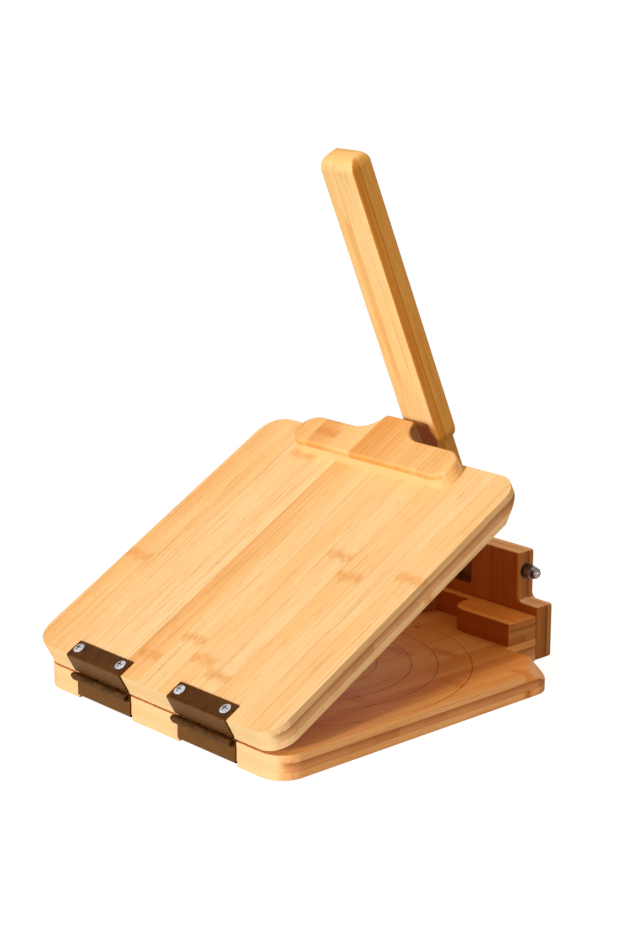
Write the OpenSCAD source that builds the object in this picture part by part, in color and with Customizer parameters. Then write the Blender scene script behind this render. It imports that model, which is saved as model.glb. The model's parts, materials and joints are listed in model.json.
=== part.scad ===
// Bamboo tortilla press: base board, hinged lid, and a lever on a slotted upright.
// Millimetres. X runs along the hinge edge, +Y points from the hinge edge to the lever edge, +Z is up.
// The origin is the centre of the base board's underside.

/* [Boards] */
// Width of the base board and the lid, along the hinge edge
board_w = 263; // [259:1:290]
// Depth of the base board and the lid, from the hinge edge to the lever edge
board_d = 270; // [262:1:300]
// Thickness of the three-ply boards
board_t = 18; // [16:0.5:20]
// Radius of the boards' four corners
corner_r = 19.5; // [10:0.5:30]
// Angle at which the lid stands open
lid_open = 28.9; // [5:0.1:60]
// Distance of a finger bevel's edge from the boards' square lever corner, along the diagonal
lift_back = 19.3; // [14:0.1:24]
// Slope of the finger bevels
lift_slope = 40; // [30:1:45]

/* [Sizing rings] */
// Diameter of the first sizing ring
ring_a_d = 114; // [100:1:130]
// Diameter of the second sizing ring
ring_b_d = 165; // [145:1:180]
// Diameter of the third sizing ring
ring_c_d = 204; // [190:1:230]
// Diameter of the fourth sizing ring
ring_d_d = 254; // [236:1:255]
// Width of an engraved ring line
ring_line = 0.7; // [0.4:0.1:1.5]
// Depth of an engraved ring line
ring_depth = 0.5; // [0.3:0.1:1]

/* [Lid tab] */
// Width of the alignment tab on the lid
tab_w = 30; // [24:0.5:36]
// Reach of the tab past the lid's lever edge
tab_reach = 18.5; // [14:0.5:20]
// Radius of the hollow at each side of the tab's root
tab_fillet = 19; // [14:0.5:22]
// Radius of the tab's two far corners
tab_corner_r = 4; // [1:0.5:6]

/* [Pressure block] */
// Width of the pressure block on the lid
block_w = 163; // [130:1:190]
// Height of the pressure block
block_h = 13; // [8:0.5:16]
// Distance from the lid's lever edge to the block's front edge
block_front = 28.5; // [28:0.5:40]
// Radius of the block's front corners
block_front_r = 12.5; // [4:0.5:13]
// Radius of the block's back corners
block_ear_r = 14.5; // [4:0.5:15]

/* [Guide and upright] */
// Width of the base's extension, the guide block and the upright's foot
rail_w = 162; // [146:1:180]
// Depth of the base's extension behind the lever edge
rail_d = 33.5; // [29:0.5:38]
// Clearance round the lid's tab in the guide block
tab_side_clear = 3; // [1.5:0.25:4]
// Clearance behind the lid's tab in the guide block
tab_end_clear = 7.5; // [3:0.5:10]
// Radius of the recess's back corners in the guide block
recess_corner_r = 3; // [1:0.5:6]
// Thickness of the upright
upright_t = 18; // [15:0.5:22]
// Height of the upright's wide foot
upright_foot_h = 42.5; // [41:0.5:50]
// Width of the upright's head
upright_head_w = 122; // [100:1:132]
// Height of the upright
upright_h = 81; // [78:0.5:96]
// Radius of the hollow between the upright's head and foot
upright_fillet = 5; // [2:0.5:8]
// Radius of the upright's outer corners
upright_corner_r = 2.5; // [1:0.5:5]

/* [Pivot] */
// Diameter of the pivot rod
rod_d = 6; // [5:0.5:8]
// Distance from the upright's top down to the pivot rod
rod_drop = 15.5; // [12:0.5:18]
// Radial clearance of the rod in its holes
rod_clear = 0.05; // [0.02:0.01:0.1]
// Size across the flats of a cap nut
nut_af = 10; // [10:0.5:13]
// Height of a cap nut's hexagon
nut_hex_h = 5.5; // [4:0.5:7]
// Diameter of a cap nut's dome
nut_dome_d = 9.4; // [9:0.1:9.8]
// Height of a cap nut
nut_h = 12; // [11.5:0.5:14]
// Diameter of a nut washer
washer_d = 12; // [11.5:0.5:14]
// Thickness of a nut washer
washer_t = 1.6; // [1:0.1:2]

/* [Lever] */
// Angle at which the lever leans towards the hinge edge
lever_lean = 23.5; // [10:0.1:26]
// Length of the lever from the pivot to its end
lever_len = 351; // [300:0.5:400]
// Width of the lever at its end
lever_end_w = 33.4; // [31:0.2:40]
// Width of the lever at its shoulder
lever_root_w = 33.2; // [28:0.2:34]
// Distance from the pivot line to the lever's pressing face
lever_near = 7.2; // [6:0.1:9]
// Distance from the pivot line to the lever's outer face
lever_far = 13.2; // [11:0.1:14]
// Radius of the corners of the lever's end, seen from the front
lever_end_r = 9.5; // [3:0.1:15]
// Radius from the lever's pressing face over to its end
lever_end_near_r = 11.7; // [3:0.1:12]
// Radius from the lever's end over to its outer face
lever_end_far_r = 8.4; // [3:0.1:9]
// Distance from the pivot to the shoulder where the lever widens
shoulder_at = 104; // [95:1:125]
// Radius of the lever's shoulder
shoulder_r = 12; // [5:0.5:13]
// Width of the tongue in the upright's slot
tongue_w = 22.4; // [18:0.2:26]
// Clearance between the tongue and each side of the slot
slot_side_clear = 0.4; // [0.3:0.05:0.8]
// Distance from the pivot to the tongue's round foot
foot_reach = 17.5; // [14:0.5:18]
// Clearance between the tongue's round foot and the slot's floor
slot_floor_clear = 3; // [2:0.5:6]

/* [Hinges] */
// Distance of each hinge from the middle
hinge_x = 57; // [48:0.5:65]
// Width of a hinge
hinge_w = 61; // [54:1:70]
// Thickness of a hinge leaf
leaf_t = 1.5; // [1:0.1:2]
// Reach of a leaf's flange over its board
leaf_reach = 13.5; // [12:0.5:18]
// Radius of the hinge barrel
barrel_r = 3; // [2.6:0.1:3.4]
// Distance of the hinge axis from the boards' hinge edge
axis_out = 3.8; // [3.5:0.1:4.2]
// Diameter of a hinge pin
pin_d = 3; // [2:0.1:3.6]
// Radial clearance of a pin in its knuckles
pin_clear = 0.05; // [0.02:0.01:0.1]
// Number of knuckles of a hinge
knuckles = 5; // [3:2:7]
// Gap between neighbouring knuckles
knuckle_gap = 0.3; // [0.2:0.05:0.6]
// Room between a barrel and the other leaf's plate
knuckle_room = 0.4; // [0.3:0.05:0.8]
// Diameter of a pin's round head
pin_head_d = 4.6; // [4:0.1:5.6]
// Length of a pin's round head
pin_head_len = 3.8; // [3:0.1:5]
// Distance from a barrel's open end to the pin
pin_short = 1.5; // [0.5:0.1:3]
// Clearance round a leaf's flange in the base's pocket
pocket_clear = 0.4; // [0.2:0.1:0.8]

/* [Screws] */
// Diameter of a pan head
pan_d = 8.6; // [7:0.1:9]
// Height of a pan head
pan_h = 2.2; // [1.8:0.1:3]
// Height of a pan head's straight rim
pan_rim = 0.9; // [0.5:0.1:1.2]
// Room between a pan head and the surface that the base stands on
pan_room = 0.2; // [0.1:0.1:0.5]
// Diameter of a hinge screw's shank
hinge_screw_d = 3.6; // [3:0.1:4]
// Length of a hinge screw under its head
hinge_screw_len = 13; // [10:0.5:14]
// Distance of a hinge screw from the middle of its leaf
hinge_screw_x = 24; // [18:0.5:25]
// Distance of a hinge screw from the boards' hinge edge
hinge_screw_in = 6.8; // [6.3:0.1:8]
// Diameter of a frame screw's shank
frame_screw_d = 4; // [3.5:0.1:4.5]
// Diameter of a frame screw's countersunk head
frame_head_d = 8; // [7:0.1:9]
// Length of an upright screw
upright_screw_len = 40; // [34:1:42]
// Length of a guide screw
guide_screw_len = 30; // [26:1:31]
// Distance of the upright screws from the ends of the foot
upright_screw_inset = 19; // [12:0.5:22]
// Distance of the guide screws from the ends of the guide block
guide_screw_inset = 34; // [31:0.5:38]
// Width of a screw head's cross slot
cross_w = 1.1; // [0.8:0.1:1.4]
// Radial clearance of a screw in its hole
screw_clear = 0.05; // [0.02:0.01:0.1]

/* [Hidden] */
$fn = 64;
// Overshoot of a cutting shape past the face that it opens
cut = 1;
LEFT = -1;
RIGHT = 1;

// Colours of the materials
BAMBOO_BOARD = [0.93, 0.74, 0.48];
BAMBOO_BLOCK = [0.90, 0.68, 0.40];
BAMBOO_LEVER = [0.86, 0.60, 0.28];
BRONZE = [0.27, 0.18, 0.11];
STEEL = [0.78, 0.78, 0.80];
CHROME = [0.86, 0.86, 0.88];

// Edges and levels
near_y = -board_d / 2;
far_y = board_d / 2;
lid_top = 2 * board_t;
rail_y = far_y + rail_d;
back_y = rail_y + upright_t;

// Hinge axis
axis_y = near_y - axis_out;
axis_z = board_t;
knuckle_pitch = hinge_w / knuckles;
// Underside of the base leaf's flange, just above its screw heads
flange_z = pan_h + pan_room;
pocket_z = flange_z + leaf_t;

// Pivot and slot
rod_y = rail_y + upright_t / 2;
rod_z = upright_h - rod_drop;
slot_w = tongue_w + 2 * slot_side_clear;
slot_floor = rod_z - foot_reach - slot_floor_clear;
nut_seat_x = upright_head_w / 2 + washer_t;
// Depth of a cap nut's blind hole and of the rod's end in it
nut_bore_depth = nut_h - nut_dome_d / 4;
rod_in_nut = nut_bore_depth - 0.5;

// Guide recess, from the tab and its clearances
recess_w = tab_w + 2 * tab_side_clear;
recess_d = tab_reach + tab_end_clear;
ear_corner_r = tab_fillet - tab_side_clear;
guide_front_y = far_y + tab_side_clear;
guide_mid_y = (guide_front_y + rail_y) / 2;

// Screw places
upright_screw_x = rail_w / 2 - upright_screw_inset;
guide_screw_x = rail_w / 2 - guide_screw_inset;
frame_head_h = (frame_head_d - frame_screw_d) / 2;

// Puts a piece that is drawn with the lid closed where the open lid carries it
module on_open_lid() {
    translate([0, axis_y, axis_z])
        rotate([lid_open, 0, 0])
            translate([0, -axis_y, -axis_z])
                children();
}

// Puts a piece that is drawn upright round the pivot where the leaning lever carries it
module on_leaning_lever() {
    translate([0, rod_y, rod_z])
        rotate([lever_lean, 0, 0])
            children();
}

// Turns an outline of width and height into a plate that stands across Y, with its back at y
module standing_plate(back, thickness) {
    translate([0, back, 0])
        rotate([90, 0, 0])
            linear_extrude(thickness)
                children();
}

// Turns a side profile of depth and height into a bar along X, centred on x
module bar_along_x(x, length) {
    translate([x, 0, 0])
        rotate([90, 0, 90])
            linear_extrude(length, center = true)
                children();
}

// Round bar along X between two places
module rod_along_x(x_from, x_to, r) {
    translate([x_from, 0, 0])
        rotate([0, 90, 0])
            cylinder(r = r, h = x_to - x_from);
}

// Rectangle with round corners
module round_rect(width, depth, r) {
    square([width, depth - 2 * r], center = true);
    square([width - 2 * r, depth], center = true);
    for (x = [-1, 1], y = [-1, 1])
        translate([x * (width / 2 - r), y * (depth / 2 - r)])
            circle(r);
}

// Corner piece between two square edges, hollowed by a quarter circle
// It fills the corner at the origin towards +x and +y
module hollow_corner(r) {
    difference() {
        translate([-cut, -cut])
            square(r + cut);
        translate([r, r])
            circle(r);
        translate([r, -2 * cut])
            square([cut, r + 3 * cut]);
        translate([-2 * cut, r])
            square([r + 3 * cut, cut]);
    }
}

// Outline of the alignment tab on the lever edge, with a hollow at each side of its root
// A hollow that is larger than the tab's side leaves the tip a little wider than the waist
module tab_outline() {
    side_h = tab_reach - tab_corner_r;
    over = max(0, tab_fillet - side_h);
    tip_half = tab_w / 2 + tab_fillet - sqrt(tab_fillet * tab_fillet - over * over);
    translate([0, far_y]) {
        translate([-tab_w / 2, -cut])
            square([tab_w, side_h + cut]);
        translate([-tip_half + tab_corner_r, 0])
            square([2 * (tip_half - tab_corner_r), tab_reach]);
        for (side = [LEFT, RIGHT]) {
            translate([side * (tip_half - tab_corner_r), side_h])
                circle(tab_corner_r);
            mirror([side == LEFT ? 1 : 0, 0])
                intersection() {
                    translate([tab_w / 2, 0])
                        hollow_corner(tab_fillet);
                    translate([0, -cut])
                        square([tab_w + 2 * tab_fillet, side_h + cut]);
                }
        }
    }
}

// Wedge that bevels a board's lever corner for a finger
// up is 1 for a bevel in a top face and -1 for a bevel in an underside
module lift_wedge(side, level, up) {
    size = 3 * board_t;
    translate([side * board_w / 2, far_y, level])
        mirror([side == LEFT ? 1 : 0, 0, 0])
            mirror([0, 0, up > 0 ? 0 : 1])
                rotate([0, 0, 45])
                    translate([-lift_back, 0, 0])
                        rotate([0, lift_slope, 0])
                            translate([0, -size, 0])
                                cube([2 * size, 2 * size, size]);
}

// Countersunk wood screw: the head's flat top is at the origin and the shank runs along -z
module frame_screw(length, grow = 0) {
    translate([0, 0, -frame_head_h])
        cylinder(r1 = frame_screw_d / 2 + grow, r2 = frame_head_d / 2 + grow, h = frame_head_h);
    translate([0, 0, -length - grow])
        cylinder(d = frame_screw_d + 2 * grow, h = length - frame_head_h + grow + 0.01);
}

// Cross slot cut into a screw head, from the height given down
module cross_slot(span, depth, top) {
    for (turn = [0, 90])
        rotate([0, 0, turn])
            translate([-span / 2, -cross_w / 2, top - depth])
                cube([span, cross_w, depth + cut]);
}

// Countersunk wood screw with its cross slot
module slotted_frame_screw(length) {
    difference() {
        frame_screw(length);
        cross_slot(frame_head_d * 0.55, frame_head_h * 0.6, 0);
    }
}

// Pan-head wood screw: the head's seat is at the origin and the shank runs along -z
module pan_screw() {
    cap_h = pan_h - pan_rim;
    dome_r = (pan_d * pan_d / 4 + cap_h * cap_h) / (2 * cap_h);
    tip_h = hinge_screw_d;
    difference() {
        intersection() {
            translate([0, 0, pan_h - dome_r])
                sphere(dome_r);
            cylinder(d = pan_d, h = pan_h);
        }
        cross_slot(pan_d * 0.55, pan_h * 0.5, pan_h);
    }
    translate([0, 0, tip_h - hinge_screw_len])
        cylinder(d = hinge_screw_d, h = hinge_screw_len - tip_h + 0.01);
    translate([0, 0, -hinge_screw_len])
        cylinder(d1 = hinge_screw_d * 0.15, d2 = hinge_screw_d, h = tip_h);
}

// Places of one hinge's two screws on the lid, seats up
module at_lid_screws(side) {
    for (x = [-hinge_screw_x, hinge_screw_x])
        translate([side * hinge_x + x, near_y + hinge_screw_in, lid_top + leaf_t])
            children();
}

// Places of one hinge's two screws under the base, seats down
module at_base_screws(side) {
    for (x = [-hinge_screw_x, hinge_screw_x])
        translate([side * hinge_x + x, near_y + hinge_screw_in, flange_z])
            rotate([180, 0, 0])
                children();
}

// Places of the upright's screws, heads to the back
module at_upright_screws() {
    for (side = [LEFT, RIGHT], level = [0.5, 1.5])
        translate([side * upright_screw_x, back_y, level * board_t])
            rotate([-90, 0, 0])
                children();
}

// Places of the guide block's screws, heads down
module at_guide_screws() {
    for (side = [LEFT, RIGHT])
        translate([side * guide_screw_x, guide_mid_y, 0])
            rotate([180, 0, 0])
                children();
}

// Hole for a hinge screw's shank, along -z from the seat
module hinge_screw_hole() {
    translate([0, 0, -hinge_screw_len - leaf_t])
        cylinder(d = hinge_screw_d + 2 * screw_clear, h = hinge_screw_len + leaf_t + cut);
}

module base_board() {
    color(BAMBOO_BOARD)
        difference() {
            linear_extrude(board_t) {
                round_rect(board_w, board_d, corner_r);
                translate([-rail_w / 2, 0])
                    square([rail_w, rail_y]);
            }
            for (d = [ring_a_d, ring_b_d, ring_c_d, ring_d_d])
                translate([0, 0, board_t - ring_depth])
                    difference() {
                        cylinder(d = d + ring_line, h = ring_depth + cut);
                        translate([0, 0, -cut])
                            cylinder(d = d - ring_line, h = ring_depth + 3 * cut);
                    }
            for (side = [LEFT, RIGHT]) {
                lift_wedge(side, board_t, 1);
                translate([side * hinge_x - hinge_w / 2 - pocket_clear, near_y - cut, -cut])
                    cube([hinge_w + 2 * pocket_clear, leaf_reach + pocket_clear + cut, pocket_z + cut]);
                at_base_screws(side)
                    hinge_screw_hole();
            }
            at_upright_screws()
                frame_screw(upright_screw_len, screw_clear);
            at_guide_screws()
                frame_screw(guide_screw_len, screw_clear);
        }
}

module guide_block() {
    color(BAMBOO_BLOCK)
        difference() {
            translate([0, 0, board_t])
                linear_extrude(board_t)
                    difference() {
                        translate([-rail_w / 2, guide_front_y])
                            square([rail_w, rail_y - guide_front_y]);
                        translate([-recess_w / 2, far_y])
                            square([recess_w, recess_d - recess_corner_r]);
                        translate([-recess_w / 2 + recess_corner_r, far_y])
                            square([recess_w - 2 * recess_corner_r, recess_d]);
                        for (side = [LEFT, RIGHT]) {
                            translate([
                                side * (recess_w / 2 - recess_corner_r),
                                far_y + recess_d - recess_corner_r
                            ])
                                circle(recess_corner_r);
                            mirror([side == LEFT ? 1 : 0, 0])
                                translate([recess_w / 2, guide_front_y])
                                    hollow_corner(ear_corner_r);
                        }
                    }
            at_upright_screws()
                frame_screw(upright_screw_len, screw_clear);
            at_guide_screws()
                frame_screw(guide_screw_len, screw_clear);
        }
}

// Front view of the upright: wide foot, narrower head, and the slot for the lever's tongue
module upright_outline() {
    r = upright_corner_r;
    difference() {
        union() {
            translate([-rail_w / 2, 0])
                square([rail_w, upright_foot_h - r]);
            translate([-rail_w / 2 + r, 0])
                square([rail_w - 2 * r, upright_foot_h]);
            translate([-upright_head_w / 2, 0])
                square([upright_head_w, upright_h - r]);
            translate([-upright_head_w / 2 + r, 0])
                square([upright_head_w - 2 * r, upright_h]);
            for (side = [LEFT, RIGHT]) {
                translate([side * (rail_w / 2 - r), upright_foot_h - r])
                    circle(r);
                translate([side * (upright_head_w / 2 - r), upright_h - r])
                    circle(r);
                mirror([side == LEFT ? 1 : 0, 0])
                    translate([upright_head_w / 2, upright_foot_h])
                        hollow_corner(upright_fillet);
            }
        }
        translate([-slot_w / 2, slot_floor])
            square([slot_w, upright_h - slot_floor + cut]);
    }
}

module upright() {
    color(BAMBOO_BLOCK)
        difference() {
            standing_plate(back_y, upright_t)
                upright_outline();
            translate([0, rod_y, rod_z])
                rod_along_x(-upright_head_w, upright_head_w, rod_d / 2 + rod_clear);
            at_upright_screws()
                frame_screw(upright_screw_len, screw_clear);
        }
}

module upright_screws() {
    color(STEEL)
        at_upright_screws()
            slotted_frame_screw(upright_screw_len);
}

module guide_screws() {
    color(STEEL)
        at_guide_screws()
            slotted_frame_screw(guide_screw_len);
}

module pivot_rod() {
    reach = nut_seat_x + rod_in_nut;
    color(STEEL)
        translate([0, rod_y, rod_z])
            rod_along_x(-reach, reach, rod_d / 2);
}

// Domed nut whose seat is at the origin and whose dome points along +z
module cap_nut() {
    difference() {
        union() {
            cylinder(d = nut_af / cos(30), h = nut_hex_h, $fn = 6);
            cylinder(d = nut_dome_d, h = nut_h - nut_dome_d / 2);
            translate([0, 0, nut_h - nut_dome_d / 2])
                sphere(d = nut_dome_d);
        }
        translate([0, 0, -cut])
            cylinder(d = rod_d + 2 * rod_clear, h = nut_bore_depth + cut);
    }
}

module cap_nut_on(side) {
    color(CHROME)
        translate([side * nut_seat_x, rod_y, rod_z])
            rotate([0, side * 90, 0])
                cap_nut();
}

module nut_washer_on(side) {
    color(STEEL)
        translate([side * (nut_seat_x - washer_t / 2), rod_y, rod_z])
            rotate([0, 90, 0])
                difference() {
                    cylinder(d = washer_d, h = washer_t, center = true);
                    cylinder(d = rod_d + 4 * rod_clear, h = washer_t + 2 * cut, center = true);
                }
}

// Bent leaf in side view: a plate on the hinge edge from plate_to up to the bend, and a flange over the board
// The bend's inner corner is at the origin, the flange runs along +x and the plate along +y
module leaf_profile(plate_len) {
    translate([-leaf_t, 0])
        square([leaf_t, plate_len]);
    translate([0, -leaf_t])
        square([leaf_reach, leaf_t]);
    intersection() {
        circle(leaf_t);
        translate([-leaf_t, -leaf_t])
            square(leaf_t);
    }
}

// One hinge's knuckles, counted from its left end: the even ones belong to the base, the odd ones to the lid
module knuckle_row(side, first) {
    for (i = [first : 2 : knuckles - 1])
        translate([side * hinge_x - hinge_w / 2 + i * knuckle_pitch + knuckle_gap / 2, axis_y, axis_z])
            children();
}

// Barrel pieces and the short webs that join them to a leaf's plate
// up is 1 for the lid's leaf above the axis and -1 for the base's leaf below it
module knuckle_bodies(side, first, up) {
    length = knuckle_pitch - knuckle_gap;
    knuckle_row(side, first) {
        rod_along_x(0, length, barrel_r);
        translate([0, axis_out - leaf_t, up > 0 ? knuckle_gap : -barrel_r - knuckle_room])
            cube([length, leaf_t, barrel_r + knuckle_room - knuckle_gap]);
    }
}

module pin_bore(side) {
    translate([side * hinge_x, axis_y, axis_z])
        rod_along_x(-hinge_w, hinge_w, pin_d / 2 + pin_clear);
}

module base_leaf(side) {
    plate_top = axis_z - barrel_r - knuckle_room;
    color(BRONZE)
        difference() {
            union() {
                translate([0, near_y, pocket_z])
                    bar_along_x(side * hinge_x, hinge_w)
                        leaf_profile(plate_top - pocket_z);
                knuckle_bodies(side, 0, -1);
            }
            pin_bore(side);
            at_base_screws(side)
                hinge_screw_hole();
        }
}

module lid_leaf(side) {
    plate_bottom = axis_z + barrel_r + knuckle_room;
    color(BRONZE)
        on_open_lid()
            difference() {
                union() {
                    translate([0, near_y, lid_top])
                        mirror([0, 0, 1])
                            bar_along_x(side * hinge_x, hinge_w)
                                leaf_profile(lid_top - plate_bottom);
                    knuckle_bodies(side, 1, 1);
                }
                pin_bore(side);
                at_lid_screws(side)
                    hinge_screw_hole();
            }
}

module hinge_pin(side) {
    head_r = pin_head_d / 2;
    color(BRONZE)
        translate([side * hinge_x - hinge_w / 2 + knuckle_gap / 2, axis_y, axis_z]) {
            rod_along_x(0, hinge_w - knuckle_gap - pin_short, pin_d / 2);
            rod_along_x(head_r - pin_head_len, 0, head_r);
            translate([head_r - pin_head_len, 0, 0])
                sphere(head_r);
        }
}

module base_hinge_screws(side) {
    color(STEEL)
        at_base_screws(side)
            pan_screw();
}

module lid_hinge_screws(side) {
    color(STEEL)
        on_open_lid()
            at_lid_screws(side)
                pan_screw();
}

module top_board() {
    color(BAMBOO_BOARD)
        on_open_lid()
            difference() {
                translate([0, 0, board_t])
                    linear_extrude(board_t) {
                        round_rect(board_w, board_d, corner_r);
                        tab_outline();
                    }
                for (side = [LEFT, RIGHT]) {
                    lift_wedge(side, board_t, -1);
                    at_lid_screws(side)
                        hinge_screw_hole();
                }
            }
}

// Top view of the pressure block: a bar with two round ears, and the lid's tab between them
module block_outline() {
    front_y = far_y - block_front;
    ear_y = far_y;
    translate([-block_w / 2 + block_front_r, front_y])
        square([block_w - 2 * block_front_r, block_front_r]);
    translate([-block_w / 2, front_y + block_front_r])
        square([block_w, ear_y - block_ear_r - front_y - block_front_r]);
    translate([-block_w / 2 + block_ear_r, front_y + block_front_r])
        square([block_w - 2 * block_ear_r, ear_y - front_y - block_front_r]);
    for (side = [LEFT, RIGHT]) {
        translate([side * (block_w / 2 - block_front_r), front_y + block_front_r])
            circle(block_front_r);
        translate([side * (block_w / 2 - block_ear_r), ear_y - block_ear_r])
            circle(block_ear_r);
    }
    tab_outline();
}

module pressure_block() {
    color(BAMBOO_BLOCK)
        on_open_lid()
            translate([0, 0, lid_top])
                linear_extrude(block_h)
                    block_outline();
}

// Front view of the lever: a straight handle with a rounded end, and the narrow tongue below its shoulder
module lever_front() {
    handle_from = shoulder_at + shoulder_r;
    handle_to = lever_len - lever_end_r;
    polygon([
        [-lever_root_w / 2, handle_from],
        [lever_root_w / 2, handle_from],
        [lever_end_w / 2, handle_to],
        [-lever_end_w / 2, handle_to]
    ]);
    translate([-lever_end_w / 2 + lever_end_r, handle_to - cut])
        square([lever_end_w - 2 * lever_end_r, lever_end_r + cut]);
    translate([-tongue_w / 2, -foot_reach - cut])
        square([tongue_w, handle_from + foot_reach + 2 * cut]);
    for (side = [LEFT, RIGHT]) {
        translate([side * (lever_end_w / 2 - lever_end_r), handle_to])
            circle(lever_end_r);
        translate([side * (lever_root_w / 2 - shoulder_r), handle_from])
            circle(shoulder_r);
    }
}

// Side view of the lever's bar, rounded at one corner of its end and wider than the lever on its other side
module bar_with_round_corner(face, r) {
    wide = 2 * (lever_near + lever_far);
    translate([face - wide, 0])
        square([wide, lever_len - r]);
    translate([face - r - wide, 0])
        square([wide, lever_len]);
    translate([face - r, lever_len - r])
        circle(r);
}

// Side view of the lever: straight pressing and outer faces, a rounded end and a round foot
module lever_side() {
    intersection() {
        mirror([1, 0])
            bar_with_round_corner(lever_near, lever_end_near_r);
        bar_with_round_corner(lever_far, lever_end_far_r);
    }
    intersection() {
        circle(foot_reach);
        translate([-lever_near, -foot_reach - cut])
            square([lever_near + lever_far, foot_reach + 2 * cut]);
    }
}

module lever() {
    wide = lever_end_w + lever_root_w;
    deep = 4 * lever_far;
    color(BAMBOO_LEVER)
        on_leaning_lever()
            difference() {
                intersection() {
                    bar_along_x(0, wide)
                        lever_side();
                    standing_plate(deep / 2, deep)
                        lever_front();
                }
                rod_along_x(-wide, wide, rod_d / 2 + rod_clear);
            }
}

base_board();
guide_block();
upright();
upright_screws();
guide_screws();
pivot_rod();
cap_nut_on(LEFT);  // cap_nut_left
cap_nut_on(RIGHT);  // cap_nut_right
nut_washer_on(LEFT);  // nut_washer_left
nut_washer_on(RIGHT);  // nut_washer_right
base_leaf(LEFT);  // hinge_left_base_leaf
base_leaf(RIGHT);  // hinge_right_base_leaf
hinge_pin(LEFT);  // hinge_left_pin
hinge_pin(RIGHT);  // hinge_right_pin
base_hinge_screws(LEFT);  // hinge_left_base_screws
base_hinge_screws(RIGHT);  // hinge_right_base_screws
top_board();
pressure_block();
lid_leaf(LEFT);  // hinge_left_lid_leaf
lid_leaf(RIGHT);  // hinge_right_lid_leaf
lid_hinge_screws(LEFT);  // hinge_left_lid_screws
lid_hinge_screws(RIGHT);  // hinge_right_lid_screws
lever();
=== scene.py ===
"""Bamboo tortilla press: wood, metal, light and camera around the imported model."""
import json
import math

import bmesh
import bpy
from mathutils import Matrix, Vector


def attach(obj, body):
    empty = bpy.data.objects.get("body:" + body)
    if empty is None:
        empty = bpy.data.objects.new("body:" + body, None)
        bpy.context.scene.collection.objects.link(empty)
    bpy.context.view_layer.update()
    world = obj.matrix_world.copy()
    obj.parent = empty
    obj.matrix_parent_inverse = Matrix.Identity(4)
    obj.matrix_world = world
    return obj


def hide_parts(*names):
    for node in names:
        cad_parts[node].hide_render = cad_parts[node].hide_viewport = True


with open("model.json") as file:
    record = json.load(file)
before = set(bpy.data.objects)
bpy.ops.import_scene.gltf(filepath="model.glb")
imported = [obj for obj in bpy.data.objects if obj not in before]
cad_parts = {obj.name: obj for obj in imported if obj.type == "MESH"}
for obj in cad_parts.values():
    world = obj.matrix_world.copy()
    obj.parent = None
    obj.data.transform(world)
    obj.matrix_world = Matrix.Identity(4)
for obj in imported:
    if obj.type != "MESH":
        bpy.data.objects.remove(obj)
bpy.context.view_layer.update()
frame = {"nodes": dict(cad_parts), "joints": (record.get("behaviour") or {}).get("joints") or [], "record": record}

# Sizes of the press, in millimetres
MM = 0.001
BOARD_D = 270
BOARD_T = 18
PLY_T = BOARD_T / 3
LID_TOP = 2 * BOARD_T
HINGE_EDGE_Y = -BOARD_D / 2
RAIL_W = 162
UPRIGHT_NEAR_Y = 168.5
UPRIGHT_H = 81
LEVER_LEN = 351
LEVER_NEAR_Y = -7.2
RING_DIAMETERS = (114, 165, 204, 254)
RING_NUMBERS = ("4.5", "6.5", "8", "10")
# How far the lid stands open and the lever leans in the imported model
LID_OPEN = math.radians(28.9)
LEVER_LEAN = math.radians(23.5)


def joint_point(name):
    """Place of a joint's axis in the row frame."""
    for joint in frame["joints"]:
        if joint["name"] == name:
            return Vector(joint["pos_m"])
    raise KeyError(name)


# Each body's own axes: the lid as if it were closed, the lever as if it stood upright on its pivot
HINGE = joint_point("lid_hinge")
PIVOT = joint_point("lever_pivot")
LID_TURN = Matrix.Rotation(LID_OPEN, 4, "X")
LEVER_TURN = Matrix.Rotation(LEVER_LEAN, 4, "X")
PLACES = {
    "base": Matrix.Identity(4),
    "lid": Matrix.Translation(HINGE) @ LID_TURN @ Matrix.Translation(-HINGE),
    "lever": Matrix.Translation(PIVOT) @ LEVER_TURN,
}


def srgb(red, green, blue):
    """Colour from 0 to 255 as the linear colour that a shader takes."""
    def linear(value):
        share = value / 255
        return share / 12.92 if share <= 0.04045 else ((share + 0.055) / 1.055) ** 2.4
    return (linear(red), linear(green), linear(blue), 1.0)


WHITE = (1.0, 1.0, 1.0, 1.0)
# Size of a normal along an axis from which a face starts to count as looking that way, and is full
FACING = (0.55, 0.9)
# Middle value of a noise
NOISE_MEAN = 0.5


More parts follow.
